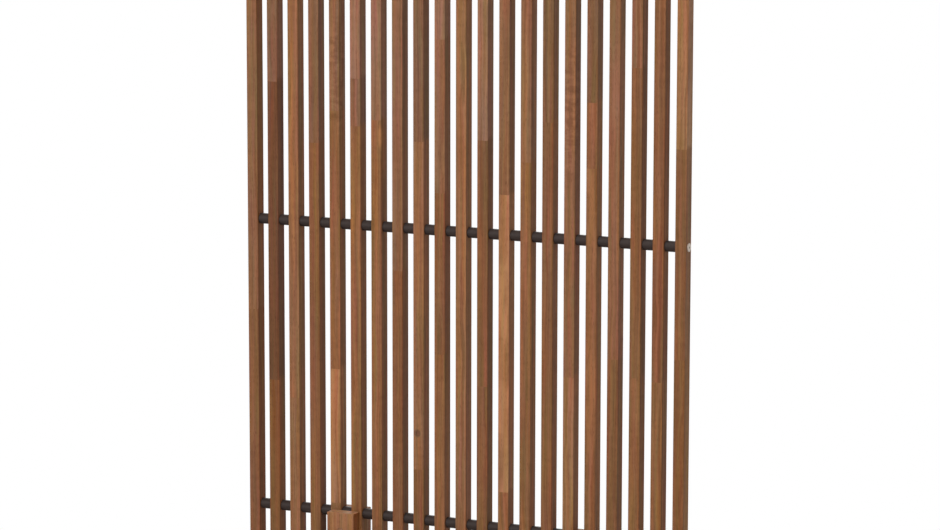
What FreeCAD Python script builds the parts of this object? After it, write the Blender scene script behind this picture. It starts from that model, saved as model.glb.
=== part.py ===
import FreeCAD, Part
import math
import os

# A free-standing slatted garden screen, in millimetres.
# +X runs along the screen to the right as seen from the front, +Y to the back, +Z up.
# The origin is on the ground, under the middle of the screen.

# ---------------------------------------------------------------- driving dimensions

# The slats, and the rods and spacers that string them together
SLAT_COUNT = 21
SLAT_WIDTH = 24.0
SLAT_DEPTH = 28.0
SLAT_GAP = 25.0
SLAT_EDGE_ROUND = 1.0
SLAT_END_BEVEL = 0.8
SCREEN_HEIGHT = 1800.0
ROD_HEIGHTS = {"bottom": 300.0, "middle": 920.0, "top": 1540.0}
ROD_DIAMETER = 8.0
ROD_HOLE = 8.6
ROD_END_CLEARANCE = 1.5
SPACER_DIAMETER = 22.5
SPACER_BEVEL = 0.6

# The sleeve nuts on the rods' ends: a flat head outside, a threaded barrel inside the end slat
NUT_HEAD_DIAMETER = 18.0
NUT_HEAD_THICKNESS = 2.0
NUT_HEAD_ROUND = 0.7
NUT_BARREL_DIAMETER = 10.0
NUT_BARREL_LENGTH = 16.0
NUT_BARREL_HOLE = 10.4
NUT_SOCKET_ACROSS_FLATS = 4.0
NUT_SOCKET_DEPTH = 4.5

# The two feet: a beam on the ground, and two posts that clamp the slats between them.
# Each is centred on the gap beyond the fifth slat from its end of the screen.
FOOT_GAP_NUMBER = 5
POST_WIDTH = 63.0
POST_THICKNESS = 28.0
POST_TOP = 306.0
POST_EDGE_ROUND = 2.0
BEAM_LENGTH = 450.0
BEAM_THICKNESS = 35.0
BEAM_EDGE_ROUND = 3.0
BEAM_NOSE_ROUND = 14.0

# The glides under the beams
GLIDE_DIAMETER = 34.0
GLIDE_THICKNESS = 5.0
GLIDE_BEVEL = 1.5
GLIDE_FROM_END = 28.0

# M8 hardware: the clamp bolts through the posts, and the bolts up through the beams
BOLT_DIAMETER = 8.0
BOLT_HOLE = 8.6
BOLT_HEAD_DIAMETER = 13.0
BOLT_HEAD_HEIGHT = 8.0
BOLT_SOCKET_ACROSS_FLATS = 6.0
BOLT_SOCKET_DEPTH = 4.0
WASHER_DIAMETER = 16.0
WASHER_THICKNESS = 1.6
HEX_NUT_ACROSS_FLATS = 13.0
HEX_NUT_HEIGHT = 6.5
CLAMP_BOLT_HEIGHTS = (110.0, 264.0)
CLAMP_BOLT_LENGTH = 70.0
COUNTERBORE_DIAMETER = 19.0
COUNTERBORE_DEPTH = 12.0
BOLT_HOLE_SPARE = 2.0
BEAM_BOLT_LENGTH = 70.0
BARREL_NUT_DIAMETER = 10.0
BARREL_NUT_LENGTH = 18.0
BARREL_NUT_ABOVE_BEAM = 35.0

# The wooden plugs that lie on the clamp bolts' heads, flush with the front posts
PLUG_DIAMETER = 17.8
PLUG_THICKNESS = 3.4
PLUG_BEVEL = 0.6

# Wooden dowels that keep each post from turning on its beam
DOWEL_DIAMETER = 8.0
DOWEL_LENGTH = 40.0
DOWEL_HOLE_DEPTH = 21.0
DOWEL_OFFSET = 19.0
DOWEL_END_BEVEL = 0.8

# The countersunk screw in each glide
SCREW_DIAMETER = 4.0
SCREW_LENGTH = 22.0
SCREW_HEAD_DIAMETER = 8.0
SCREW_HEAD_HEIGHT = 2.2
SCREW_HEAD_RECESS = 1.4
SCREW_SLOT_ACROSS = 1.0
SCREW_SLOT_LENGTH = 4.6
SCREW_SLOT_DEPTH = 1.0

# ---------------------------------------------------------------- worked out from those

SLAT_PITCH = SLAT_WIDTH + SLAT_GAP
SCREEN_HALF_WIDTH = ((SLAT_COUNT - 1) * SLAT_PITCH + SLAT_WIDTH) / 2
FOOT_CENTRE = (SLAT_COUNT / 2 - FOOT_GAP_NUMBER) * SLAT_PITCH
SLAT_FRONT = -SLAT_DEPTH / 2
SLAT_BACK = SLAT_DEPTH / 2
BEAM_TOP = GLIDE_THICKNESS + BEAM_THICKNESS
POST_MIDDLE = SLAT_BACK + POST_THICKNESS / 2
POST_OUTER = SLAT_BACK + POST_THICKNESS
BEAM_SEAT = GLIDE_THICKNESS + COUNTERBORE_DEPTH
BARREL_NUT_HEIGHT = BEAM_TOP + BARREL_NUT_ABOVE_BEAM
GLIDE_PLACE = BEAM_LENGTH / 2 - GLIDE_FROM_END
ROD_HALF_LENGTH = SCREEN_HALF_WIDTH - NUT_SOCKET_DEPTH - ROD_END_CLEARANCE

ALONG_X = FreeCAD.Vector(1, 0, 0)
ALONG_Y = FreeCAD.Vector(0, 1, 0)
UP = FreeCAD.Vector(0, 0, 1)
SIDES = {"left": -1, "right": 1}
FRONT = -1
REAR = 1
FACES = {"front": FRONT, "rear": REAR}

# A clamp bolt's head and its plug need a deeper counterbore in front than its nut needs behind.
CLAMP_BORE_DEPTHS = {
    FRONT: PLUG_THICKNESS + BOLT_HEAD_HEIGHT + WASHER_THICKNESS,
    REAR: COUNTERBORE_DEPTH,
}
CLAMP_SEATS = {face: face * (POST_OUTER - depth) for face, depth in CLAMP_BORE_DEPTHS.items()}

# How nearly an edge has to follow a direction, or lie in a plane, to count as doing so
PARALLEL = 0.999
NEAR = 0.01


# ---------------------------------------------------------------- plain shapes

def block(low, high):
    """A box between two corners."""
    return Part.makeBox(high[0] - low[0], high[1] - low[1], high[2] - low[2], FreeCAD.Vector(*low))


def round_bar(diameter, length, start, direction):
    """A cylinder that starts at a point and runs along a direction."""
    return Part.makeCylinder(diameter / 2, length, FreeCAD.Vector(*start), direction)


def hexagon_bar(across_flats, length, start, direction):
    """A hexagonal bar that starts at a point and runs along a direction."""
    corner_radius = across_flats / math.sqrt(3)
    corners = []
    for turn in range(7):
        angle = math.radians(60 * turn)
        corners.append(FreeCAD.Vector(corner_radius * math.cos(angle), corner_radius * math.sin(angle), 0))
    bar = Part.Face(Part.makePolygon(corners)).extrude(FreeCAD.Vector(0, 0, length))
    bar.Placement = FreeCAD.Placement(FreeCAD.Vector(*start), FreeCAD.Rotation(UP, direction))
    return bar


def edges_along(shape, direction):
    """The straight edges of a shape that run along a direction."""
    found = []
    for edge in shape.Edges:
        if isinstance(edge.Curve, Part.Line) and abs(edge.Curve.Direction.dot(direction)) > PARALLEL:
            found.append(edge)
    return found


def edges_at(shape, axis, value):
    """The edges of a shape that lie wholly in the plane where one coordinate has a value."""
    found = []
    for edge in shape.Edges:
        box = edge.BoundBox
        low = (box.XMin, box.YMin, box.ZMin)[axis]
        high = (box.XMax, box.YMax, box.ZMax)[axis]
        if abs(low - value) < NEAR and abs(high - value) < NEAR:
            found.append(edge)
    return found


def place_of_slat(number):
    """The X of a slat's middle, counted from 1 at the left."""
    return (number - (SLAT_COUNT + 1) / 2) * SLAT_PITCH


# ---------------------------------------------------------------- the screen

def slat(number):
    """One upright slat, drilled for the rods; the end slats are bored out for the nuts' barrels."""
    middle = place_of_slat(number)
    low = (middle - SLAT_WIDTH / 2, SLAT_FRONT, BEAM_TOP)
    high = (middle + SLAT_WIDTH / 2, SLAT_BACK, SCREEN_HEIGHT)
    wood = block(low, high)
    wood = wood.makeFillet(SLAT_EDGE_ROUND, edges_along(wood, UP))
    ends = edges_at(wood, 2, BEAM_TOP) + edges_at(wood, 2, SCREEN_HEIGHT)
    wood = wood.makeChamfer(SLAT_END_BEVEL, ends)
    for height in ROD_HEIGHTS.values():
        wood = wood.cut(round_bar(ROD_HOLE, SLAT_WIDTH, (low[0], 0, height), ALONG_X))
        if number == 1:
            wood = wood.cut(round_bar(NUT_BARREL_HOLE, NUT_BARREL_LENGTH, (low[0], 0, height), ALONG_X))
        if number == SLAT_COUNT:
            wood = wood.cut(round_bar(NUT_BARREL_HOLE, NUT_BARREL_LENGTH, (high[0], 0, height), -ALONG_X))
    return wood


def rod(height):
    """A threaded rod through all the slats, ending inside the nuts' barrels."""
    return round_bar(ROD_DIAMETER, 2 * ROD_HALF_LENGTH, (-ROD_HALF_LENGTH, 0, height), ALONG_X)


def spacer(gap_number, height):
    """The spacer on a rod between slat gap_number and the next one."""
    start = place_of_slat(gap_number) + SLAT_WIDTH / 2
    tube = round_bar(SPACER_DIAMETER, SLAT_GAP, (start, 0, height), ALONG_X)
    rims = edges_at(tube, 0, start) + edges_at(tube, 0, start + SLAT_GAP)
    tube = tube.makeChamfer(SPACER_BEVEL, rims)
    return tube.cut(round_bar(ROD_DIAMETER, SLAT_GAP, (start, 0, height), ALONG_X))


def sleeve_nut(side, height):
    """A sleeve nut on a rod's end: its head lies on the end slat, its barrel is inside it."""
    outward = ALONG_X * side
    face = side * SCREEN_HALF_WIDTH
    outside = face + side * NUT_HEAD_THICKNESS
    head = round_bar(NUT_HEAD_DIAMETER, NUT_HEAD_THICKNESS, (face, 0, height), outward)
    head = head.makeFillet(NUT_HEAD_ROUND, edges_at(head, 0, outside))
    barrel = round_bar(NUT_BARREL_DIAMETER, NUT_BARREL_LENGTH, (face, 0, height), -outward)
    inner_end = (face - side * NUT_BARREL_LENGTH, 0, height)
    thread_depth = NUT_BARREL_LENGTH - abs(SCREEN_HALF_WIDTH - ROD_HALF_LENGTH)
    thread = round_bar(ROD_DIAMETER, thread_depth, inner_end, outward)
    socket = hexagon_bar(NUT_SOCKET_ACROSS_FLATS, NUT_SOCKET_DEPTH, (outside, 0, height), -outward)
    return head.fuse(barrel).removeSplitter().cut(thread).cut(socket)


# ---------------------------------------------------------------- the feet

def beam(foot_x):
    """The beam on the ground, with its bolt, dowel and screw holes."""
    low = (foot_x - POST_WIDTH / 2, -BEAM_LENGTH / 2, GLIDE_THICKNESS)
    high = (foot_x + POST_WIDTH / 2, BEAM_LENGTH / 2, BEAM_TOP)
    wood = block(low, high)
    noses = [edge for edge in edges_along(wood, ALONG_X) if edge.CenterOfMass.z > BEAM_TOP - NEAR]
    wood = wood.makeFillet(BEAM_NOSE_ROUND, noses)
    long_edges = edges_at(wood, 0, low[0]) + edges_at(wood, 0, high[0])
    wood = wood.makeFillet(BEAM_EDGE_ROUND, long_edges)
    for face in FACES.values():
        post_y = face * POST_MIDDLE
        wood = wood.cut(round_bar(BOLT_HOLE, BEAM_THICKNESS, (foot_x, post_y, GLIDE_THICKNESS), UP))
        bore = round_bar(COUNTERBORE_DIAMETER, COUNTERBORE_DEPTH, (foot_x, post_y, GLIDE_THICKNESS), UP)
        wood = wood.cut(bore)
        for side in SIDES.values():
            top = (foot_x + side * DOWEL_OFFSET, post_y, BEAM_TOP)
            wood = wood.cut(round_bar(DOWEL_DIAMETER, DOWEL_HOLE_DEPTH, top, -UP))
        screw_start = (foot_x, face * GLIDE_PLACE, GLIDE_THICKNESS)
        wood = wood.cut(round_bar(SCREW_DIAMETER, SCREW_LENGTH, screw_start, UP))
    return wood


def post(foot_x, face):
    """A post that stands on the beam against the slats; face is FRONT or REAR."""
    inner = face * SLAT_BACK
    outer = face * POST_OUTER
    middle = face * POST_MIDDLE
    low = (foot_x - POST_WIDTH / 2, min(inner, outer), BEAM_TOP)
    high = (foot_x + POST_WIDTH / 2, max(inner, outer), POST_TOP)
    wood = block(low, high)
    wood = wood.makeFillet(POST_EDGE_ROUND, edges_along(wood, UP) + edges_at(wood, 2, POST_TOP))
    outward = ALONG_Y * face
    for height in CLAMP_BOLT_HEIGHTS:
        wood = wood.cut(round_bar(BOLT_HOLE, POST_THICKNESS, (foot_x, inner, height), outward))
        bore = round_bar(COUNTERBORE_DIAMETER, CLAMP_BORE_DEPTHS[face], (foot_x, outer, height), -outward)
        wood = wood.cut(bore)
    bolt_hole_depth = BEAM_SEAT + BEAM_BOLT_LENGTH + BOLT_HOLE_SPARE - BEAM_TOP
    wood = wood.cut(round_bar(BOLT_HOLE, bolt_hole_depth, (foot_x, middle, BEAM_TOP), UP))
    nut_depth = POST_THICKNESS / 2 + BARREL_NUT_LENGTH / 2
    nut_hole = round_bar(BARREL_NUT_DIAMETER, nut_depth, (foot_x, inner, BARREL_NUT_HEIGHT), outward)
    wood = wood.cut(nut_hole)
    for side in SIDES.values():
        bottom = (foot_x + side * DOWEL_OFFSET, middle, BEAM_TOP)
        wood = wood.cut(round_bar(DOWEL_DIAMETER, DOWEL_HOLE_DEPTH, bottom, UP))
    return wood


def glide(foot_x, face):
    """A round glide under one end of a beam, countersunk for its screw."""
    place = (foot_x, face * GLIDE_PLACE, 0)
    disc = round_bar(GLIDE_DIAMETER, GLIDE_THICKNESS, place, UP)
    disc = disc.makeChamfer(GLIDE_BEVEL, edges_at(disc, 2, 0))
    disc = disc.cut(round_bar(SCREW_DIAMETER, GLIDE_THICKNESS, place, UP))
    disc = disc.cut(round_bar(SCREW_HEAD_DIAMETER, SCREW_HEAD_RECESS, place, UP))
    head_start = FreeCAD.Vector(place[0], place[1], SCREW_HEAD_RECESS)
    cone = Part.makeCone(SCREW_HEAD_DIAMETER / 2, SCREW_DIAMETER / 2, SCREW_HEAD_HEIGHT, head_start, UP)
    return disc.cut(cone)


# ---------------------------------------------------------------- the hardware

def washer(start, direction):
    """A washer whose face lies on its seat at start, and which grows away from it."""
    disc = round_bar(WASHER_DIAMETER, WASHER_THICKNESS, start, direction)
    return disc.cut(round_bar(BOLT_HOLE, WASHER_THICKNESS, start, direction))


def socket_bolt(under_head, length, direction):
    """A socket-head bolt; direction points from under its head to its tip."""
    shank = round_bar(BOLT_DIAMETER, length, under_head, direction)
    head = round_bar(BOLT_HEAD_DIAMETER, BOLT_HEAD_HEIGHT, under_head, -direction)
    top = FreeCAD.Vector(*under_head) - direction * BOLT_HEAD_HEIGHT
    socket = hexagon_bar(BOLT_SOCKET_ACROSS_FLATS, BOLT_SOCKET_DEPTH, tuple(top), direction)
    return head.fuse(shank).removeSplitter().cut(socket)


def clamp_bolt(foot_x, height):
    """A bolt from the front post to the rear post, through the gap between two slats."""
    under_head = (foot_x, CLAMP_SEATS[FRONT] - WASHER_THICKNESS, height)
    return socket_bolt(under_head, CLAMP_BOLT_LENGTH, ALONG_Y)


def clamp_washers(foot_x, height):
    """The washers under one clamp bolt's head and under its nut."""
    front = washer((foot_x, CLAMP_SEATS[FRONT], height), -ALONG_Y)
    rear = washer((foot_x, CLAMP_SEATS[REAR], height), ALONG_Y)
    return [front, rear]


def clamp_nut(foot_x, height):
    """The hexagon nut on one clamp bolt."""
    seat = (foot_x, CLAMP_SEATS[REAR] + WASHER_THICKNESS, height)
    nut = hexagon_bar(HEX_NUT_ACROSS_FLATS, HEX_NUT_HEIGHT, seat, ALONG_Y)
    return nut.cut(round_bar(BOLT_DIAMETER, HEX_NUT_HEIGHT, seat, ALONG_Y))


def bolt_plug(foot_x, height):
    """The plug on one clamp bolt's head, flush with the front post and a little smaller than its bore."""
    plug = round_bar(PLUG_DIAMETER, PLUG_THICKNESS, (foot_x, -POST_OUTER, height), ALONG_Y)
    return plug.makeChamfer(PLUG_BEVEL, edges_at(plug, 1, -POST_OUTER))


def beam_bolt(foot_x, face):
    """A bolt from below the beam, up into the post's barrel nut."""
    under_head = (foot_x, face * POST_MIDDLE, BEAM_SEAT - WASHER_THICKNESS)
    return socket_bolt(under_head, BEAM_BOLT_LENGTH, UP)


def beam_washer(foot_x, face):
    """The washer under a beam bolt's head."""
    return washer((foot_x, face * POST_MIDDLE, BEAM_SEAT), -UP)


def barrel_nut(foot_x, face):
    """A barrel nut that lies across its post and holds the beam bolt."""
    outward = ALONG_Y * face
    start = (foot_x, face * (POST_MIDDLE - BARREL_NUT_LENGTH / 2), BARREL_NUT_HEIGHT)
    nut = round_bar(BARREL_NUT_DIAMETER, BARREL_NUT_LENGTH, start, outward)
    thread_start = (foot_x, face * POST_MIDDLE, BARREL_NUT_HEIGHT - BARREL_NUT_DIAMETER)
    return nut.cut(round_bar(BOLT_DIAMETER, 2 * BARREL_NUT_DIAMETER, thread_start, UP))


def dowel(foot_x, face, side):
    """A dowel, half in the beam and half in the post."""
    start = (foot_x + side * DOWEL_OFFSET, face * POST_MIDDLE, BEAM_TOP - DOWEL_LENGTH / 2)
    pin = round_bar(DOWEL_DIAMETER, DOWEL_LENGTH, start, UP)
    rims = edges_at(pin, 2, start[2]) + edges_at(pin, 2, start[2] + DOWEL_LENGTH)
    return pin.makeChamfer(DOWEL_END_BEVEL, rims)


def glide_screw(foot_x, face):
    """A slotted countersunk screw, up through a glide into the beam."""
    place = FreeCAD.Vector(foot_x, face * GLIDE_PLACE, SCREW_HEAD_RECESS)
    head = Part.makeCone(SCREW_HEAD_DIAMETER / 2, SCREW_DIAMETER / 2, SCREW_HEAD_HEIGHT, place, UP)
    shank = round_bar(SCREW_DIAMETER, SCREW_LENGTH, tuple(place), UP)
    half_slot = FreeCAD.Vector(SCREW_SLOT_LENGTH / 2, SCREW_SLOT_ACROSS / 2, 0)
    slot_low = tuple(place - half_slot)
    slot_high = tuple(place + half_slot + UP * SCREW_SLOT_DEPTH)
    return head.fuse(shank).removeSplitter().cut(block(slot_low, slot_high))


# ---------------------------------------------------------------- the nodes

def save(name, solids):
    """Check one node's solids and write them."""
    for number, solid in enumerate(solids, 1):
        if not solid.isValid() or len(solid.Solids) != 1 or solid.Volume <= 0:
            raise ValueError("%s, solid %d isn't one valid solid" % (name, number))
    shape = solids[0].Solids[0]
    if len(solids) > 1:
        shape = Part.makeCompound([solid.Solids[0] for solid in solids])
    shape.exportStep("parts/" + name + ".step")
    return name


def build_screen():
    """The slats, rods, spacers and rod nuts."""
    names = []
    for number in range(1, SLAT_COUNT + 1):
        names.append(save("slat_%02d" % number, [slat(number)]))
    for place, height in ROD_HEIGHTS.items():
        names.append(save(place + "_rod", [rod(height)]))
        spacers = [spacer(gap_number, height) for gap_number in range(1, SLAT_COUNT)]
        names.append(save(place + "_spacers", spacers))
    for side_name, side in SIDES.items():
        nuts = [sleeve_nut(side, height) for height in ROD_HEIGHTS.values()]
        names.append(save(side_name + "_rod_nuts", nuts))
    return names


def build_foot(side_name, side):
    """One foot, with all that fastens it."""
    foot_x = side * FOOT_CENTRE
    faces = FACES.values()
    names = [save(side_name + "_beam", [beam(foot_x)])]
    for face_name, face in FACES.items():
        names.append(save(side_name + "_" + face_name + "_post", [post(foot_x, face)]))
        names.append(save(side_name + "_" + face_name + "_glide", [glide(foot_x, face)]))
    clamp_washer_group = []
    for height in CLAMP_BOLT_HEIGHTS:
        clamp_washer_group += clamp_washers(foot_x, height)
    dowels = [dowel(foot_x, face, offset_side) for face in faces for offset_side in SIDES.values()]
    groups = {
        "clamp_bolts": [clamp_bolt(foot_x, height) for height in CLAMP_BOLT_HEIGHTS],
        "bolt_plugs": [bolt_plug(foot_x, height) for height in CLAMP_BOLT_HEIGHTS],
        "clamp_washers": clamp_washer_group,
        "clamp_nuts": [clamp_nut(foot_x, height) for height in CLAMP_BOLT_HEIGHTS],
        "beam_bolts": [beam_bolt(foot_x, face) for face in faces],
        "beam_washers": [beam_washer(foot_x, face) for face in faces],
        "barrel_nuts": [barrel_nut(foot_x, face) for face in faces],
        "dowels": dowels,
        "glide_screws": [glide_screw(foot_x, face) for face in faces],
    }
    for group_name, solids in groups.items():
        names.append(save(side_name + "_" + group_name, solids))
    return names


os.makedirs("parts", exist_ok=True)
node_names = build_screen()
for side_name, side in SIDES.items():
    node_names += build_foot(side_name, side)
print(len(node_names), "nodes")
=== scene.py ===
import math
import random

import bmesh
import bpy
from mathutils import Matrix, Vector


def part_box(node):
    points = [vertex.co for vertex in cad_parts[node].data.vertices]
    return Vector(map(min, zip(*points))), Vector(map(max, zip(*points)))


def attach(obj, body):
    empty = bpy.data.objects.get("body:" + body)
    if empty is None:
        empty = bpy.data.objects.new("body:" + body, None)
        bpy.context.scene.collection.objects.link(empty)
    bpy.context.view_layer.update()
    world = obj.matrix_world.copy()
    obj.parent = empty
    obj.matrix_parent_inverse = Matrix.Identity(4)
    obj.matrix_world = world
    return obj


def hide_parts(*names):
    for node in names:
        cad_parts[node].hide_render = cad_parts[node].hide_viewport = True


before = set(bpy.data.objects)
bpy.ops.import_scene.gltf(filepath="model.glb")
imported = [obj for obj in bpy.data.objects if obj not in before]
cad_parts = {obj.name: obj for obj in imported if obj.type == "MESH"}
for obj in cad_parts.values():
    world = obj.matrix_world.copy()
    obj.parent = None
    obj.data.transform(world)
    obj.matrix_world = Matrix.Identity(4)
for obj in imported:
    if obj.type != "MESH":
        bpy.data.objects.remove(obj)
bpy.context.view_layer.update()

# A free-standing slatted garden screen: oiled acacia slats on three rods, in two T-shaped feet.
# Metres throughout; MM turns the shop's millimetres into them.
MM = 0.001

# ---------------------------------------------------------------- sizes that the frame doesn't give

# The wooden pieces
SLAT_ROUND = 1.0 * MM
SLAT_END_BEVEL = 0.8 * MM
FINGER_LENGTH = 11.0 * MM
FINGERS = 6
# A point nearer to a finger's root than this share of its length is at the root.
FINGER_ROOT = 0.01
POST_ROUND = 2.0 * MM
BEAM_ROUND = 3.0 * MM
BEAM_NOSE_ROUND = 14.0 * MM
COUNTERBORE_RADIUS = 9.5 * MM
PLUG_RIM = 0.6 * MM

# The M8 rods, the holes round them, and the spacers
ROD_RADIUS = 4.0 * MM
ROD_HOLE_RADIUS = 4.3 * MM
NUT_HOLE_RADIUS = 5.2 * MM
SPACER_RIM = 0.9 * MM

# The sleeve nuts on the rods' ends; the wall is between a nut's socket and its thread.
NUT_HEAD = 2.0 * MM
NUT_HEAD_ROUND = 0.7 * MM
NUT_BARREL_RADIUS = 5.0 * MM
NUT_SOCKET_ACROSS = 4.0 * MM
NUT_SOCKET_DEPTH = 4.5 * MM
NUT_WALL = 1.0 * MM

# The M8 bolts, washers and nuts
BOLT_HEAD = 8.0 * MM
BOLT_HEAD_RADIUS = 6.5 * MM
BOLT_HEAD_ROUND = 1.0 * MM
BOLT_TIP_BEVEL = 0.8 * MM
BOLT_SOCKET_ACROSS = 6.0 * MM
BOLT_SOCKET_DEPTH = 4.0 * MM
WASHER_RADIUS = 8.0 * MM
WASHER = 1.6 * MM
WASHER_ROUND = 0.3 * MM
HEX_NUT_ACROSS = 13.0 * MM
HEX_NUT = 6.5 * MM
HEX_NUT_BEVEL = 0.9 * MM

# The glides and their countersunk screws
GLIDE_RIM = 1.5 * MM
GLIDE_TOP_ROUND = 0.4 * MM
SCREW_RADIUS = 2.0 * MM
SCREW_HEAD_RADIUS = 4.0 * MM
SCREW_HEAD_RIM = 0.1 * MM
SCREW_HEAD = 2.2 * MM
SCREW_RECESS = 1.4 * MM
SCREW_SLOT = (4.6 * MM, 1.0 * MM, 1.0 * MM)

# How far a cutter stands out past the face that it cuts, and the least step in a turned outline
OVERSHOOT = 1.0 * MM
HAIR = 0.01 * MM

# Places nearer to each other than this are one place.
TOUCH = 1e-5
# The least cosine of an edge that runs along an axis, and of a face that looks along one
EDGE_ALONG = 0.999
FACE_ALONG = 0.9

# ---------------------------------------------------------------- the wood's tones

# What one glued block of acacia looks like beside the next: sRGB, before the oil's sheen pales it.
TONES = {
    "honey": "#976845",
    "tan": "#8D6140",
    "almond": "#875B3C",
    "rose": "#875F47",
    "chestnut": "#825736",
    "fawn": "#7F573B",
    "mauve": "#7A533B",
    "brown": "#795032",
    "dun": "#755137",
    "russet": "#784D2C",
    "umber": "#664129",
}

# Each slat's glued blocks that can be told apart, from the bottom up: height where a block
# starts, in millimetres, and its tone.
SLAT_BLOCKS = {
    1: [(0, "brown"), (725, "fawn")],
    2: [(0, "russet"), (575, "umber"), (1215, "mauve")],
    3: [(0, "almond"), (540, "almond")],
    4: [(0, "brown"), (1090, "mauve")],
    5: [(0, "tan"), (320, "honey"), (610, "chestnut"), (1160, "fawn")],
    6: [(0, "chestnut"), (1130, "mauve"), (1230, "rose")],
    7: [(0, "chestnut"), (1145, "rose")],
    8: [(0, "brown"), (830, "fawn")],
    9: [(0, "brown"), (410, "almond"), (1105, "dun")],
    10: [(0, "chestnut"), (660, "brown"), (1000, "fawn"), (1320, "rose")],
    11: [(0, "almond")],
    12: [(0, "brown"), (600, "brown"), (1115, "rose")],
    13: [(0, "almond"), (380, "honey"), (1005, "fawn")],
    14: [(0, "chestnut"), (1075, "fawn")],
    15: [(0, "brown"), (1160, "dun")],
    16: [(0, "tan"), (635, "fawn")],
    17: [(0, "chestnut"), (1070, "chestnut"), (1205, "dun")],
    18: [(0, "brown"), (680, "fawn")],
    19: [(0, "chestnut"), (645, "brown"), (1280, "fawn")],
    20: [(0, "chestnut"), (640, "brown")],
    21: [(0, "russet"), (690, "brown"), (1120, "tan")],
}
SLAT_COUNT = len(SLAT_BLOCKS)

# Joints outside the stretch that can be seen: where they may lie, in millimetres, and how many of
# the slats have one near the bottom.
LOW_JOINT = (120, 240)
LOW_JOINT_SHARE = 0.7
HIGH_JOINT = (1460, 1660)

# A block was sawn this far from its log's pith, and this far up or down the log, in millimetres.
PITH_DISTANCE = (35, 120)
LOG_REACH = 9000

# What a piece's side faces make of its front's red, green and blue.
# These are partly the wood's own tone and partly painted: the darker ones are painted shade in the gaps,
# the paler ones painted light and sheen.
SIDE_TONE_AND_PAINTED_LIGHT = {
    "even": (1.0, 1.0, 1.0),
    "pale": (1.14, 1.18, 1.24),
    "deep": (0.86, 0.85, 0.84),
    "amber": (0.9, 0.76, 0.56),
    "painted_shade": (0.72, 0.52, 0.32),
    "painted_sheen": (1.12, 1.28, 1.55),
}
# The slats whose sides aren't even with their fronts, partly in their own tone and partly in painted shade
# and light
SLAT_SIDES = {
    1: "amber", 3: "deep", 4: "deep", 5: "deep", 6: "deep", 7: "deep", 8: "deep", 9: "deep", 10: "deep",
    12: "deep", 13: "deep", 15: "pale", 16: "deep", 17: "pale", 18: "pale", 19: "deep", 21: "painted_sheen",
}
# End faces are painted paler and cooler than the faces along the grain: painted light and painted sheen, as
# from light above.
PAINTED_END_SHEEN = (1.15, 1.28, 1.4)

# What grew into single slats: the slat's number, how far across its front from -0.5 to 0.5, the
# height of its middle, and its reach across and up, in millimetres.
KNOT = (9, -0.12, 488, 10, 12)
SAPWOOD = (7, 0.46, 1112, 9, 36)
WAVY_GRAIN = [(16, 0, 1200, 40, 190), (5, 0, 1240, 40, 150)]
# Each is full within this share of its reach.
SPOT_CORE = 0.3

# ---------------------------------------------------------------- the wood's grain

# Grain sizes are in millimetres: across the log, across it again, and along it.
RING_BENDS = (40, 40, 210)
STREAKS = (8, 8, 250)
HUE_STREAKS = (9, 9, 300)
# Fibres are finer than this in life; 1.3 mm is the finest that still shows from a step away.
FIBRES = (1.3, 1.3, 55)
# Cut pores are 0.2 mm wide in life. They are drawn as dashes 0.7 mm wide and 7 mm long, one in
# each cell, so that they show; a pore starts and is full at these shares of its cell.
PORE_CELL = (1.7, 1.7, 17)
PORE_EDGE = (0.3, 0.12)
# Ripples cross the grain every 13 mm: faint everywhere, strong where the tree grew wavy.
RIPPLES = (26, 26, 13)
RIPPLE_SHARE = (0.16, 0.8)

# Growth rings are 3 to 5 mm apart. They wander by about 3 mm, and bend by 6 mm round the knot.
RING_GAP = 4.2
RING_WANDER = (14, 14, 0)
KNOT_BEND = (6, 6, 0)

# How much of the figure comes from streaks beside rings, then from fibres beside both, and the
# part of its range that runs from the darkest late wood to the palest early wood
STREAK_SHARE = 0.5
FIBRE_SHARE = 0.22
FIGURE_RANGE = (0.39, 0.61)

# What each growth makes of the heartwood's red, green and blue, and how strongly
LATE_WOOD = (0.78, 0.72, 0.66)
EARLY_WOOD = (1.2, 1.23, 1.27)
SAPWOOD_SHADE = ((1.7, 1.6, 1.45), 1.0)
KNOT_SHADE = ((0.45, 0.48, 0.5), 0.75)
PORE_SHADE = ((0.5, 0.45, 0.42), 0.7)

# How far red, green and blue drift over the wood, as a share of its tone
HUE_DRIFT = (0.8, 0.55, 1.0)

# ---------------------------------------------------------------- the stage, the light, the camera

FLOOR_SIZE = 60
# How far from the middle the floor starts and ends to turn white, and how white it is there
FLOOR_FADE = (0.5, 1.3)
FLOOR_WHITE = (0.25, 1.0)

SKY_LEVEL = 0.34
# Each softbox's place, the point that it faces, the length of its edge, and its watts
LAMPS = {
    "key": ((-2.6, -4.6, 2.6), (0, 0, 0.9), 2.6, 98),
    "fill": ((2.7, -3.2, 0.7), (0.2, 0, 0.35), 1.4, 25),
    "top": ((0.3, -1.7, 4.6), (0, 0, 0.7), 2.2, 105),
    "back": ((-1.8, 4.2, 2.4), (0, 0, 0.9), 2.6, 80),
}

# The photograph's camera: where it stands, and in degrees how far it is turned to the left, tilted
# down and rolled. Its lens and sensor are in millimetres.
CAMERA_PLACE = (3.2102, -6.8137, 2.0129)
CAMERA_TURN = 25.127
CAMERA_TILT = 8.771
CAMERA_ROLL = -0.091
CAMERA_LENS = 140.364
CAMERA_SENSOR = 36
CAMERA_REACH = (0.1, 200)

dice = random.Random(7)


# ---------------------------------------------------------------- small tools

def linear(hex_code):
    """An sRGB hex colour as linear red, green, blue and alpha."""
    parts = [int(hex_code[i:i + 2], 16) / 255 for i in (1, 3, 5)]
    return [p / 12.92 if p <= 0.04045 else ((p + 0.055) / 1.055) ** 2.4 for p in parts] + [1.0]


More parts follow.
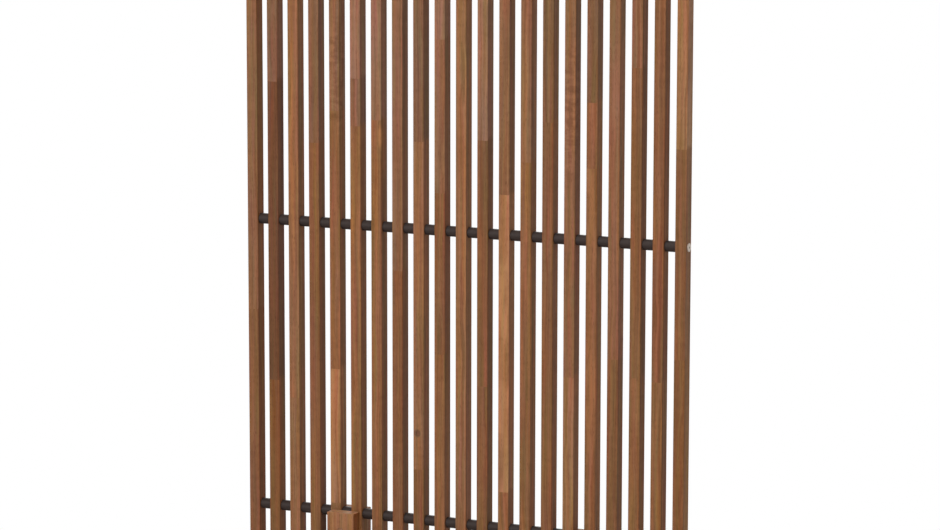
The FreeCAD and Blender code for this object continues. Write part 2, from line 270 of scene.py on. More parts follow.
def add_node(tree, kind, settings=None, links=None):
    """Adds a shader node; settings are its properties or socket values, links feed its sockets."""
    made = tree.nodes.new("ShaderNode" + kind)
    for name, value in (settings or {}).items():
        if isinstance(name, str) and hasattr(made, name):
            setattr(made, name, value)
        else:
            made.inputs[name].default_value = value
    for name, source in (links or {}).items():
        tree.links.new(source, made.inputs[name])
    return made


def new_material(name):
    """An empty material with a Principled shader: returns the material, its tree and the shader."""
    material = bpy.data.materials.new(name)
    material.use_nodes = True
    shader = material.node_tree.nodes["Principled BSDF"]
    return material, material.node_tree, shader


def box_of(node_name):
    """The lower and the upper corner of a node of the frame."""
    low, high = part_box(node_name)
    return Vector(low), Vector(high)


def along(axis, reach):
    """A vector with a length along an axis (0, 1 or 2)."""
    move = Vector((0, 0, 0))
    move[axis] = reach
    return move


def deselect():
    """Leaves nothing selected, in object mode."""
    if bpy.context.object and bpy.context.object.mode != "OBJECT":
        bpy.ops.object.mode_set(mode="OBJECT")
    bpy.ops.object.select_all(action="DESELECT")


def work_on(piece):
    """Makes a piece the only selected one and the active one."""
    deselect()
    piece.select_set(True)
    bpy.context.view_layer.objects.active = piece


def settle(piece):
    """Puts a piece's place, turn and scale into its mesh."""
    work_on(piece)
    bpy.ops.object.transform_apply(location=True, rotation=True, scale=True)


def new_block(name, low, high):
    """A box between two corners, to be shaped further."""
    deselect()
    bpy.ops.mesh.primitive_cube_add(size=1, location=(low + high) / 2, scale=high - low)
    piece = bpy.context.object
    piece.name = name
    settle(piece)
    return piece


def new_bar(name, radius, start, end, sides=48):
    """A round bar between two points, to be shaped further."""
    deselect()
    start, end = Vector(start), Vector(end)
    turn = (end - start).to_track_quat("Z", "Y").to_euler()
    bpy.ops.mesh.primitive_cylinder_add(vertices=sides, radius=radius, depth=(end - start).length,
                                        location=(start + end) / 2, rotation=turn)
    piece = bpy.context.object
    piece.name = name
    settle(piece)
    return piece


def new_drill(radius, start, end, sides=48):
    """A bar that stands out past two points, to drill from one to the other with."""
    over = (end - start).normalized() * OVERSHOOT
    return new_bar("drill", radius, start - over, end + over, sides)


def new_key(across, start, end):
    """A hexagonal bar between two points, to sink a key's socket with."""
    return new_bar("key", across / math.sqrt(3), start, end, sides=6)


def pick(piece, kind, test):
    """In edit mode, selects the parts of a kind ("VERT", "EDGE" or "FACE") that pass a test."""
    bpy.ops.mesh.select_mode(type=kind)
    bpy.ops.mesh.select_all(action="DESELECT")
    mesh = bmesh.from_edit_mesh(piece.data)
    parts = {"VERT": mesh.verts, "EDGE": mesh.edges, "FACE": mesh.faces}[kind]
    for part in parts:
        part.select = test(part)
    mesh.select_flush_mode()
    bmesh.update_edit_mesh(piece.data)


def runs(axis):
    """A test for edges that run along an axis."""
    def test(edge):
        run = (edge.verts[1].co - edge.verts[0].co).normalized()
        return abs(run[axis]) > EDGE_ALONG
    return test


def lies(axis, *values):
    """A test for edges or faces that lie flat at one of some values along an axis."""
    def test(part):
        return any(all(abs(v.co[axis] - value) < TOUCH for v in part.verts) for value in values)
    return test


def bevel(piece, test, width, segments=3):
    """Rounds the edges that pass a test."""
    work_on(piece)
    bpy.ops.object.mode_set(mode="EDIT")
    pick(piece, "EDGE", test)
    bpy.ops.mesh.bevel(offset=width, segments=segments, affect="EDGES", clamp_overlap=True)
    bpy.ops.object.mode_set(mode="OBJECT")


def cut_across(piece, axis, values):
    """Cuts a piece's faces, but not the piece, by planes across an axis."""
    work_on(piece)
    bpy.ops.object.mode_set(mode="EDIT")
    for value in values:
        bpy.ops.mesh.select_all(action="SELECT")
        bpy.ops.mesh.bisect(plane_co=along(axis, value), plane_no=along(axis, 1))
    bpy.ops.object.mode_set(mode="OBJECT")


def cut(piece, cutters, operation="DIFFERENCE"):
    """Cuts shapes out of a piece, or with "INTERSECT" trims it to them, and removes them."""
    for cutter in cutters:
        work_on(piece)
        hole = piece.modifiers.new("hole", "BOOLEAN")
        hole.object = cutter
        hole.operation = operation
        hole.solver = "EXACT"
        bpy.ops.object.modifier_apply(modifier=hole.name)
        bpy.data.objects.remove(cutter)


def step_down(piece, axis, value, width, reach):
    """Draws a turned piece's end out along an axis, thinner by a width all round."""
    work_on(piece)
    bpy.ops.object.mode_set(mode="EDIT")
    pick(piece, "FACE", lies(axis, value))
    bpy.ops.mesh.inset(thickness=width, depth=0)
    bpy.ops.mesh.extrude_region_move(TRANSFORM_OT_translate={"value": along(axis, reach)})
    bpy.ops.object.mode_set(mode="OBJECT")


def taper(piece, place, share, reach):
    """Draws a turned piece's upper end up from a place on its axis, into a cone."""
    rise = along(2, reach)
    work_on(piece)
    bpy.ops.object.mode_set(mode="EDIT")
    pick(piece, "FACE", lies(2, place.z))
    bpy.ops.mesh.extrude_region_move(TRANSFORM_OT_translate={"value": rise})
    bpy.ops.transform.resize(value=(share, share, 1), center_override=place + rise)
    bpy.ops.object.mode_set(mode="OBJECT")


def smooth(piece, angle=40):
    """Shades a piece smooth over its rounds and flat over its faces."""
    work_on(piece)
    bpy.ops.object.shade_smooth_by_angle(angle=math.radians(angle))
    weighted = piece.modifiers.new("weighted", "WEIGHTED_NORMAL")
    weighted.keep_sharp = True
    bpy.ops.object.modifier_apply(modifier=weighted.name)


def repeat(name, first, moves):
    """Joins a piece and a copy of it for each move into one named object."""
    pieces = [first]
    for move in moves:
        other = first.copy()
        other.data = first.data.copy()
        other.data.transform(Matrix.Translation(move))
        bpy.context.collection.objects.link(other)
        pieces.append(other)
    work_on(first)
    for piece in pieces:
        piece.select_set(True)
    bpy.ops.object.join()
    first.name = name
    return first


def dress(piece, material, node_name):
    """Gives a piece its material and slot, lets it ride, and hides the node it stands for."""
    piece.data.materials.clear()
    piece.data.materials.append(material)
    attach(piece, "root")
    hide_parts(node_name)


# ---------------------------------------------------------------- materials

def spot(tree, place, number, across, height, reach_across, reach_up):
    """1 at a spot on a slat's front, fading to 0 at its reach."""
    low, high = box_of("slat_%02d" % number)
    middle = Vector(((low.x + high.x) / 2 + across * (high.x - low.x), low.y, height * MM))
    reach = Vector((reach_across, reach_across, reach_up)) * MM
    offset = add_node(tree, "VectorMath", {"operation": "SUBTRACT", 1: middle}, {0: place}).outputs[0]
    share = add_node(tree, "VectorMath", {"operation": "DIVIDE", 1: reach}, {0: offset}).outputs[0]
    distance = add_node(tree, "VectorMath", {"operation": "LENGTH"}, {0: share}).outputs["Value"]
    fade = {"interpolation_type": "SMOOTHSTEP", "From Min": 1.0, "From Max": SPOT_CORE}
    return add_node(tree, "MapRange", fade, {"Value": distance}).outputs["Result"]


def grain(tree, log, size, detail=3.0, roughness=0.55):
    """A noise whose grains have a size across the log, across it again and along it."""
    place = add_node(tree, "VectorMath", {"operation": "DIVIDE", 1: size}, {0: log}).outputs[0]
    look = {"Scale": 1.0, "Detail": detail, "Roughness": roughness}
    return add_node(tree, "TexNoise", look, {"Vector": place})


def bend_log(tree, log, knot):
    """The place in a log, bent as its rings are: they wander, and go round the knot."""
    wander = grain(tree, log, RING_BENDS, 2.0).outputs["Color"]
    bent = add_node(tree, "VectorMath", {"operation": "MULTIPLY_ADD", 1: RING_WANDER},
                    {0: wander, 2: log}).outputs[0]
    return add_node(tree, "VectorMath", {"operation": "MULTIPLY_ADD", 1: KNOT_BEND},
                    {0: knot, 2: bent}).outputs[0]


def growth_rings(tree, log):
    """Rings about the log's pith, no two alike."""
    across = add_node(tree, "VectorMath", {"operation": "MULTIPLY", 1: (1, 1, 0)}, {0: log}).outputs[0]
    radius = add_node(tree, "VectorMath", {"operation": "LENGTH"}, {0: across}).outputs["Value"]
    count = add_node(tree, "Math", {"operation": "DIVIDE", 1: RING_GAP}, {0: radius}).outputs[0]
    look = {"noise_dimensions": "1D", "Scale": 1.0, "Detail": 3.0, "Roughness": 0.6}
    return add_node(tree, "TexNoise", look, {"W": count}).outputs["Fac"]


def cut_pores(tree, log):
    """1 in a cut pore: a dark dash along the grain."""
    place = add_node(tree, "VectorMath", {"operation": "DIVIDE", 1: PORE_CELL}, {0: log}).outputs[0]
    cells = add_node(tree, "TexVoronoi", {"Scale": 1.0, "Randomness": 1.0}, {"Vector": place})
    edge = {"interpolation_type": "SMOOTHSTEP", "From Min": PORE_EDGE[0], "From Max": PORE_EDGE[1]}
    return add_node(tree, "MapRange", edge, {"Value": cells.outputs["Distance"]}).outputs["Result"]


def rippled(tree, place, log, figure):
    """The figure with the ripples that cross it, strong in the wavy patches."""
    ripples = grain(tree, log, RIPPLES, 2.0).outputs["Fac"]
    wavy = spot(tree, place, *WAVY_GRAIN[0])
    for patch in WAVY_GRAIN[1:]:
        other = spot(tree, place, *patch)
        wavy = add_node(tree, "Math", {"operation": "MAXIMUM"}, {0: wavy, 1: other}).outputs[0]
    share = add_node(tree, "MapRange", {"To Min": RIPPLE_SHARE[0], "To Max": RIPPLE_SHARE[1]},
                     {"Value": wavy}).outputs["Result"]
    ripple = add_node(tree, "Math", {"operation": "SUBTRACT", 1: 0.5}, {0: ripples}).outputs[0]
    return add_node(tree, "Math", {"operation": "MULTIPLY_ADD"},
                    {0: ripple, 1: share, 2: figure}).outputs[0]


def shaded(tree, wood, where, shade):
    """Wood whose colour turns to a shade of itself where something grew or was cut."""
    colour, strength = shade
    turned = add_node(tree, "VectorMath", {"operation": "MULTIPLY", 1: colour}, {0: wood}).outputs[0]
    share = add_node(tree, "Math", {"operation": "MULTIPLY", 1: strength}, {0: where}).outputs[0]
    return add_node(tree, "Mix", {"data_type": "RGBA"}, {"Factor": share, 6: wood, 7: turned}).outputs[2]


def oiled_acacia():
    """Acacia, planed, sanded and oiled.

    Planing leaves the growth rings as soft lines along each block, sanding mutes them, and the oil
    deepens the colour and leaves a low, broad sheen. Every glued block carries its tone and its
    place in the log it was sawn from, so lines never run on from one block to the next.
    """
    material, tree, shader = new_material("oiled_acacia")
    place = add_node(tree, "TexCoord").outputs["Object"]
    # The tone carries each block's colour and, on its sides and ends, its painted shade, light and sheen.
    tone = add_node(tree, "Attribute", {"attribute_name": "tone"}).outputs["Color"]
    # Millimetres in the log: its pith is the line where X and Y are 0, and Z runs with the grain.
    straight_log = add_node(tree, "Attribute", {"attribute_name": "log_place"}).outputs["Vector"]
    knot = spot(tree, place, *KNOT)
    log = bend_log(tree, straight_log, knot)

    # Streaks are where the wood took more or less oil.
    rings = growth_rings(tree, log)
    streaks = grain(tree, log, STREAKS).outputs["Fac"]
    fibres = grain(tree, log, FIBRES, 4.0, 0.65).outputs["Fac"]
    lines = add_node(tree, "Mix", {"data_type": "FLOAT", "Factor": STREAK_SHARE},
                     {2: rings, 3: streaks}).outputs[0]
    figure = add_node(tree, "Mix", {"data_type": "FLOAT", "Factor": FIBRE_SHARE},
                      {2: lines, 3: fibres}).outputs[0]
    early = add_node(tree, "MapRange", {"From Min": FIGURE_RANGE[0], "From Max": FIGURE_RANGE[1]},
                     {"Value": rippled(tree, place, log, figure)}).outputs["Result"]

    # The heartwood's colour drifts between orange, pinkish and olive in streaks of its own.
    drift = grain(tree, log, HUE_STREAKS, 2.0).outputs["Color"]
    least = [1 - value / 2 for value in HUE_DRIFT]
    drift = add_node(tree, "VectorMath", {"operation": "MULTIPLY_ADD", 1: HUE_DRIFT, 2: least},
                     {0: drift}).outputs[0]
    heart = add_node(tree, "VectorMath", {"operation": "MULTIPLY"}, {0: tone, 1: drift}).outputs[0]

    # Dark lines keep their red, pale ones lose some of it.
    late_wood = add_node(tree, "VectorMath", {"operation": "MULTIPLY", 1: LATE_WOOD}, {0: heart})
    early_wood = add_node(tree, "VectorMath", {"operation": "MULTIPLY", 1: EARLY_WOOD}, {0: heart})
    wood = add_node(tree, "Mix", {"data_type": "RGBA"},
                    {"Factor": early, 6: late_wood.outputs[0], 7: early_wood.outputs[0]}).outputs[2]
    pores = cut_pores(tree, log)
    wood = shaded(tree, wood, spot(tree, place, *SAPWOOD), SAPWOOD_SHADE)
    wood = shaded(tree, wood, knot, KNOT_SHADE)
    wood = shaded(tree, wood, pores, PORE_SHADE)
    tree.links.new(wood, shader.inputs["Base Color"])

    # Oil fills the dense rings better than the open ones, so they shine a little more.
    sheen = add_node(tree, "MapRange", {"To Min": 0.56, "To Max": 0.72}, {"Value": figure})
    tree.links.new(sheen.outputs["Result"], shader.inputs["Roughness"])
    shader.inputs["IOR"].default_value = 1.46
    # The oil has sunk in and left no film, so the wood shines far less than a sealed face would.
    shader.inputs["Specular IOR Level"].default_value = 0.15

    # Fibres stand up a little, and pores are sunk.
    relief = add_node(tree, "Math", {"operation": "MULTIPLY_ADD", 1: -0.8}, {0: pores, 2: fibres})
    bump = add_node(tree, "Bump", {"Strength": 0.35, "Distance": 0.25 * MM}, {"Height": relief.outputs[0]})
    tree.links.new(bump.outputs["Normal"], shader.inputs["Normal"])
    return material


def moulded_black_plastic():
    """Polypropylene, injection moulded: nearly black, with the mould's fine grain and a soft shine."""
    material, tree, shader = new_material("moulded_black_polypropylene")
    place = add_node(tree, "TexCoord").outputs["Object"]
    cloud = add_node(tree, "TexNoise", {"Scale": 1 / (14 * MM), "Detail": 2.0}, {"Vector": place})
    base = add_node(tree, "Mix", {"data_type": "RGBA", 6: linear("#241A17"), 7: linear("#30241F")},
                    {"Factor": cloud.outputs["Fac"]}).outputs[2]
    tree.links.new(base, shader.inputs["Base Color"])
    shine = add_node(tree, "MapRange", {"To Min": 0.46, "To Max": 0.6}, {"Value": cloud.outputs["Fac"]})
    tree.links.new(shine.outputs["Result"], shader.inputs["Roughness"])
    shader.inputs["IOR"].default_value = 1.49
    shader.inputs["Specular IOR Level"].default_value = 0.22
    # The mould's spark-eroded grain is about 0.4 mm; 0.8 mm is drawn, so that it shows.
    skin = add_node(tree, "TexNoise", {"Scale": 1 / (0.8 * MM), "Detail": 2.0}, {"Vector": place})
    bump = add_node(tree, "Bump", {"Strength": 0.2, "Distance": 0.05 * MM}, {"Height": skin.outputs["Fac"]})
    tree.links.new(bump.outputs["Normal"], shader.inputs["Normal"])
    return material


def turned_steel(name, hex_code, roughness):
    """Steel, turned, then zinc plated or left bright: the tool's rings, too fine to see, blur its shine."""
    material, tree, shader = new_material(name)
    place = add_node(tree, "TexCoord").outputs["Object"]
    cloud = add_node(tree, "TexNoise", {"Scale": 1 / (3 * MM), "Detail": 3.0}, {"Vector": place})
    bright = linear(hex_code)
    dull = [0.8 * value for value in bright[:3]] + [1.0]
    base = add_node(tree, "Mix", {"data_type": "RGBA", 6: dull, 7: bright},
                    {"Factor": cloud.outputs["Fac"]}).outputs[2]
    tree.links.new(base, shader.inputs["Base Color"])
    shine = add_node(tree, "MapRange", {"To Min": roughness - 0.06, "To Max": roughness + 0.08},
                     {"Value": cloud.outputs["Fac"]})
    tree.links.new(shine.outputs["Result"], shader.inputs["Roughness"])
    shader.inputs["Metallic"].default_value = 1.0
    return material


def turned_beech():
    """Beech dowel rod, turned and left plain: pale, with short darker rays."""
    material, tree, shader = new_material("turned_beech")
    place = add_node(tree, "TexCoord").outputs["Object"]
    # Beech rays are about 0.4 mm wide and 3 mm tall; they are drawn larger, so that they show.
    ray = Vector((0.8, 0.8, 4)) * MM
    ray_place = add_node(tree, "VectorMath", {"operation": "DIVIDE", 1: ray}, {0: place}).outputs[0]
    rays = add_node(tree, "TexNoise", {"Scale": 1.0, "Detail": 3.0}, {"Vector": ray_place}).outputs["Fac"]
    base = add_node(tree, "Mix", {"data_type": "RGBA", 6: linear("#B58B60"), 7: linear("#D6B48A")},
                    {"Factor": rays}).outputs[2]
    tree.links.new(base, shader.inputs["Base Color"])
    bump = add_node(tree, "Bump", {"Strength": 0.3, "Distance": 0.1 * MM}, {"Height": rays})
    tree.links.new(bump.outputs["Normal"], shader.inputs["Normal"])
    shader.inputs["Roughness"].default_value = 0.7
    shader.inputs["IOR"].default_value = 1.46
    return material


ACACIA = oiled_acacia()
PLASTIC = moulded_black_plastic()
NUT_STEEL = turned_steel("turned_stainless_steel", "#BDB0A3", 0.42)
ZINC = turned_steel("zinc_plated_steel", "#B9BBC0", 0.32)
BEECH = turned_beech()


# ---------------------------------------------------------------- the wooden pieces

def log_places(blocks):
    """Where in its log each block was sawn, by the height where the block starts."""
    places = {}
    for start, tone in blocks:
        turn = dice.uniform(0, 2 * math.pi)
        distance = dice.uniform(*PITH_DISTANCE)
        places[start] = Vector((distance * math.cos(turn), distance * math.sin(turn),
                                dice.uniform(-LOG_REACH, LOG_REACH)))
    return places


def face_tone_and_light(normal, lengthwise, side_tone_and_light):
    """How the colour of a face that looks along a normal differs from its piece's front: painted shade and
    light on its sides, painted sheen on its ends.
    """
    if abs(normal.x) > FACE_ALONG:
        return SIDE_TONE_AND_PAINTED_LIGHT[side_tone_and_light]
    if abs(normal[lengthwise]) > FACE_ALONG:
        return PAINTED_END_SHEEN
    return SIDE_TONE_AND_PAINTED_LIGHT["even"]


def mark_blocks(piece, blocks, lengthwise=2, side_tone_and_light="even"):
    """Writes each glued block's tone, with painted shade and light on its sides and painted sheen on its
    ends, and its place in its log onto the faces.

    Blocks rise from the bottom; lengthwise is the axis that the grain follows.
    """
    sawn_from = log_places(blocks)
    mesh = piece.data
    middle = sum((Vector(corner) for corner in piece.bound_box), Vector()) / 8
    first, second = [axis for axis in range(3) if axis != lengthwise]
    tone_and_light_marks = mesh.attributes.new("tone", "FLOAT_COLOR", "CORNER")
    log_marks = mesh.attributes.new("log_place", "FLOAT_VECTOR", "CORNER")
    for face in mesh.polygons:
        started = [block for block in blocks if block is blocks[0] or block[0] * MM <= face.center.z]
        start, tone = started[-1]
        # Sides take painted shade and light, ends a painted sheen.
        hue = face_tone_and_light(face.normal, lengthwise, side_tone_and_light)
        colour = [value * share for value, share in zip(linear(TONES[tone]), hue)] + [1.0]
        for corner in face.loop_indices:
            point = (mesh.vertices[mesh.loops[corner].vertex_index].co - middle) / MM
            in_block = Vector((point[first], point[second], point[lengthwise]))
            tone_and_light_marks.data[corner].color = colour
            log_marks.data[corner].vector = in_block + sawn_from[start]


def all_blocks(number):
    """A slat's blocks, with a joint at random above and below the stretch that can be seen."""
    blocks = list(SLAT_BLOCKS[number])
    names = sorted(TONES)
    if dice.random() < LOW_JOINT_SHARE:
        blocks[0] = (dice.randint(*LOW_JOINT), blocks[0][1])
        blocks.insert(0, (0, dice.choice(names)))
    blocks.append((dice.randint(*HIGH_JOINT), dice.choice(names)))
    return blocks


def finger_joints(piece, heights, low, high):
    """Cuts zigzag lines through the sides of a slat, where two blocks' fingers are glued together."""
    half_finger = (high.y - low.y) / (2 * FINGERS)
    cut_across(piece, 1, [low.y + step * half_finger for step in range(1, 2 * FINGERS)])
    cut_across(piece, 2, heights)
    work_on(piece)
    bpy.ops.object.mode_set(mode="EDIT")
    mesh = bmesh.from_edit_mesh(piece.data)
    levels = sorted({round(v.co.y, 6) for v in mesh.verts})
    for level in levels:
        # 0 at the root of a finger, 1 at its tip
        reach = 1 - abs((level - low.y) / half_finger % 2 - 1)
        if reach > FINGER_ROOT:
            pick(piece, "VERT", lambda v: abs(v.co.y - level) < TOUCH
                 and any(abs(v.co.z - height) < TOUCH for height in heights))
            bpy.ops.transform.translate(value=(0, 0, reach * FINGER_LENGTH))
    bpy.ops.object.mode_set(mode="OBJECT")


def make_slat(number, rod_heights):
    """One slat: rounded along its edges, drilled for the rods, and glued up from blocks."""
    node_name = "slat_%02d" % number
    low, high = box_of(node_name)
    piece = new_block("oiled_" + node_name, low, high)
    bevel(piece, runs(2), SLAT_ROUND)
    bevel(piece, lies(2, low.z, high.z), SLAT_END_BEVEL, segments=2)
    blocks = all_blocks(number)
    finger_joints(piece, [start * MM for start, tone in blocks[1:]], low, high)
    radius = NUT_HOLE_RADIUS if number in (1, SLAT_COUNT) else ROD_HOLE_RADIUS
    cut(piece, [new_drill(radius, Vector((low.x, 0, height)), Vector((high.x, 0, height)), sides=32)
                for height in rod_heights])
    mark_blocks(piece, blocks, side_tone_and_light=SLAT_SIDES.get(number, "even"))
    smooth(piece)
    dress(piece, ACACIA, node_name)


def make_post(node_name, outward, seat, bolt_heights, tone, side_tone_and_light):
    """A foot's post: rounded, with a counterbore in its outer face down to each clamp bolt's seat."""
    low, high = box_of(node_name)
    piece = new_block("oiled_" + node_name, low, high)
    bevel(piece, lambda edge: runs(2)(edge) or lies(2, high.z)(edge), POST_ROUND)
    outer = high.y if outward > 0 else low.y
    middle = (low.x + high.x) / 2
    cutters = []
    for height in bolt_heights:
        cutters.append(new_bar("counterbore", COUNTERBORE_RADIUS, (middle, seat, height),
                               (middle, outer + outward * OVERSHOOT, height), sides=64))
        cutters.append(new_drill(ROD_HOLE_RADIUS, Vector((middle, low.y, height)),
                                 Vector((middle, high.y, height)), sides=32))
    cut(piece, cutters)
    mark_blocks(piece, [(0, tone)], side_tone_and_light=side_tone_and_light)
    smooth(piece)
    dress(piece, ACACIA, node_name)


def make_beam(node_name, seat, bolt_places, tone):
    """A foot's beam: noses rounded, long edges eased, and counterbored below for the beam bolts."""
    low, high = box_of(node_name)
    piece = new_block("oiled_" + node_name, low, high)
    bevel(piece, lambda edge: runs(0)(edge) and lies(2, high.z)(edge), BEAM_NOSE_ROUND, segments=8)
    bevel(piece, lies(0, low.x, high.x), BEAM_ROUND)
    middle = (low.x + high.x) / 2
    cutters = []
    for place in bolt_places:
        cutters.append(new_bar("counterbore", COUNTERBORE_RADIUS, (middle, place, low.z - OVERSHOOT),
                               (middle, place, seat), sides=64))
        cutters.append(new_drill(ROD_HOLE_RADIUS, Vector((middle, place, low.z)),
                                 Vector((middle, place, high.z)), sides=32))
    cut(piece, cutters)
    mark_blocks(piece, [(0, tone)], lengthwise=1)
    smooth(piece)
    dress(piece, ACACIA, node_name)


def make_plugs(node_name, bolt_heights, tone):
    """The plugs over one foot's clamp bolts, each a hair smaller than its bore and bevelled."""
    low, high = box_of(node_name)
    middle = (low.x + high.x) / 2
    height = bolt_heights[0]
    first = new_bar("plug", (high.x - low.x) / 2, (middle, high.y, height), (middle, low.y, height),
                    sides=64)
    bevel(first, lies(1, low.y), PLUG_RIM, segments=2)
    mark_blocks(first, [(0, tone)])
    smooth(first)
    piece = repeat("oiled_" + node_name, first, [along(2, other - height) for other in bolt_heights[1:]])
    dress(piece, ACACIA, node_name)


# ---------------------------------------------------------------- the turned and moulded pieces

def make_spacers(node_name, slat_boxes):
    """The spacers on one rod, one from each slat to the next."""
    low, high = box_of(node_name)
    height = (low.z + high.z) / 2
    radius = (high.z - low.z) / 2
    starts = [slat[1].x for slat in slat_boxes[:-1]]
    start = starts[0]
    end = slat_boxes[1][0].x
    first = new_bar("spacer", radius, (start, 0, height), (end, 0, height))
    bevel(first, lies(0, start, end), SPACER_RIM)
    smooth(first)
    piece = repeat("moulded_" + node_name, first, [along(0, other - start) for other in starts[1:]])
    dress(piece, PLASTIC, node_name)


def make_rod_nuts(node_name, outward, rod_heights):
    """The sleeve nuts on one side: a flat rounded head with a key's socket, and a barrel in the slat."""
    low, high = box_of(node_name)
    outside, inner_end = (high.x, low.x) if outward > 0 else (low.x, high.x)
    height = rod_heights[0]
    radius = (high.z - low.z - (rod_heights[-1] - height)) / 2
    under_head = outside - outward * NUT_HEAD
    first = new_bar("nut", radius, (outside, 0, height), (under_head, 0, height), sides=64)
    bevel(first, lies(0, outside), NUT_HEAD_ROUND, segments=4)
    step_down(first, 0, under_head, radius - NUT_BARREL_RADIUS, inner_end - under_head)
    socket_floor = outside - outward * NUT_SOCKET_DEPTH
    socket = new_key(NUT_SOCKET_ACROSS, (outside + outward * OVERSHOOT, 0, height),
                     (socket_floor, 0, height))
    thread = new_bar("thread", ROD_RADIUS, (inner_end - outward * OVERSHOOT, 0, height),
                     (socket_floor - outward * NUT_WALL, 0, height))
    cut(first, [socket, thread])
    smooth(first)
    piece = repeat("turned_" + node_name, first, [along(2, other - height) for other in rod_heights[1:]])
    dress(piece, NUT_STEEL, node_name)


def make_bolts(node_name, axis, heads, tip):
    """Socket-head bolts along an axis, from the tops of their heads to their tips."""
    top = heads[0]
    under_head = top + along(axis, BOLT_HEAD)
    first = new_bar("bolt", BOLT_HEAD_RADIUS, top, under_head, sides=64)
    bevel(first, lies(axis, top[axis]), BOLT_HEAD_ROUND)
    step_down(first, axis, under_head[axis], BOLT_HEAD_RADIUS - ROD_RADIUS, tip - under_head[axis])
    bevel(first, lies(axis, tip), BOLT_TIP_BEVEL, segments=1)
    cut(first, [new_key(BOLT_SOCKET_ACROSS, top - along(axis, OVERSHOOT),
                        top + along(axis, BOLT_SOCKET_DEPTH))])
    smooth(first)
    piece = repeat("plated_" + node_name, first, [other - top for other in heads[1:]])
    dress(piece, ZINC, node_name)


def make_washers(node_name, axis, places):
    """Flat washers across an axis, each from its lower face at a place."""
    start = places[0]
    end = start + along(axis, WASHER)
    first = new_bar("washer", WASHER_RADIUS, start, end, sides=64)
    bevel(first, lies(axis, start[axis], end[axis]), WASHER_ROUND, segments=2)
    cut(first, [new_drill(ROD_HOLE_RADIUS, start, end)])
    smooth(first)
    piece = repeat("plated_" + node_name, first, [place - start for place in places[1:]])
    dress(piece, ZINC, node_name)


def make_hex_nuts(node_name, seats):
    """The clamp bolts' hexagon nuts: corners turned off on both faces, bored for the bolt."""
    start = seats[0]
    end = start + along(1, HEX_NUT)
    radius = HEX_NUT_ACROSS / math.sqrt(3)
    first = new_bar("nut", radius, start, end, sides=6)
    turned = new_bar("turned", radius, start, end, sides=96)
    bevel(turned, lies(1, start.y, end.y), HEX_NUT_BEVEL, segments=1)
    cut(first, [turned], "INTERSECT")
    cut(first, [new_drill(ROD_RADIUS, start, end)])
    smooth(first, angle=20)
    piece = repeat("plated_" + node_name, first, [seat - start for seat in seats[1:]])
    dress(piece, ZINC, node_name)


def make_glide(node_name, screw_place):
    """A moulded round glide, chamfered below and countersunk for its screw."""
    low, high = box_of(node_name)
    middle = (low + high) / 2
    piece = new_bar("moulded_" + node_name, (high.x - low.x) / 2, (middle.x, middle.y, low.z),
                    (middle.x, middle.y, high.z), sides=96)
    bevel(piece, lies(2, low.z), GLIDE_RIM)
    bevel(piece, lies(2, high.z), GLIDE_TOP_ROUND, segments=2)
    well = new_bar("well", SCREW_HEAD_RADIUS, (middle.x, middle.y, low.z - OVERSHOOT), screw_place)
    taper(well, screw_place, SCREW_RADIUS / SCREW_HEAD_RADIUS, SCREW_HEAD)
    step_down(well, 2, screw_place.z + SCREW_HEAD, HAIR, high.z - screw_place.z)
    cut(piece, [well])
    smooth(piece)
    dress(piece, PLASTIC, node_name)


def make_glide_screws(node_name, places):
    """Slotted countersunk screws, seen only from below."""
    low, high = box_of(node_name)
    place = places[0]
    rim = place + along(2, SCREW_HEAD_RIM)
    under_head = place.z + SCREW_HEAD
    first = new_bar("screw", SCREW_HEAD_RADIUS, place, rim)
    taper(first, rim, SCREW_RADIUS / SCREW_HEAD_RADIUS, SCREW_HEAD - SCREW_HEAD_RIM)
    step_down(first, 2, under_head, HAIR, high.z - under_head)
    length, across, depth = SCREW_SLOT
    half = Vector((length / 2, across / 2, 0))
    cut(first, [new_block("slot", place - half - along(2, OVERSHOOT), place + half + along(2, depth))])
    smooth(first)
    piece = repeat("plated_" + node_name, first, [other - place for other in places[1:]])
    dress(piece, ZINC, node_name)


# ---------------------------------------------------------------- the feet

def clamp_posts(side, foot_x):
    """A foot's two posts, and the bolts that run front to back through them."""
    low, high = box_of(side + "_clamp_bolts")
    washers_low, washers_high = box_of(side + "_clamp_washers")
    heights = [low.z + BOLT_HEAD_RADIUS, high.z - BOLT_HEAD_RADIUS]
    front_seat = washers_low.y + WASHER
    rear_seat = washers_high.y - WASHER
    # The front post's sides are painted shade, and the rear post's sides a painted sheen.
    make_post(side + "_front_post", -1, front_seat, heights, "tan", "painted_shade")
    make_post(side + "_rear_post", 1, rear_seat, heights, "tan", "painted_sheen")
    make_plugs(side + "_bolt_plugs", heights, "rose")
    make_bolts(side + "_clamp_bolts", 1, [Vector((foot_x, low.y, height)) for height in heights], high.y)
    washers = [Vector((foot_x, y, height)) for height in heights for y in (washers_low.y, rear_seat)]
    make_washers(side + "_clamp_washers", 1, washers)
    make_hex_nuts(side + "_clamp_nuts", [Vector((foot_x, washers_high.y, height)) for height in heights])


def bolt_beam(side, foot_x):
    """A foot's beam, and the bolts that run up through it into the posts."""
    low, high = box_of(side + "_beam_bolts")
    washers_low, washers_high = box_of(side + "_beam_washers")
    places = [low.y + BOLT_HEAD_RADIUS, high.y - BOLT_HEAD_RADIUS]
    make_beam(side + "_beam", washers_high.z, places, "chestnut")
    make_bolts(side + "_beam_bolts", 2, [Vector((foot_x, place, low.z)) for place in places], high.z)
    make_washers(side + "_beam_washers", 2, [Vector((foot_x, place, washers_low.z)) for place in places])


def screw_glides(side, foot_x):
    """The glides under a foot's ends, with their screws."""
    screw_places = []
    for face in ("front", "rear"):
        node_name = side + "_" + face + "_glide"
        low, high = box_of(node_name)
        screw_place = Vector((foot_x, (low.y + high.y) / 2, low.z + SCREW_RECESS))
        make_glide(node_name, screw_place)
        screw_places.append(screw_place)
    make_glide_screws(side + "_glide_screws", screw_places)


# ---------------------------------------------------------------- the studio

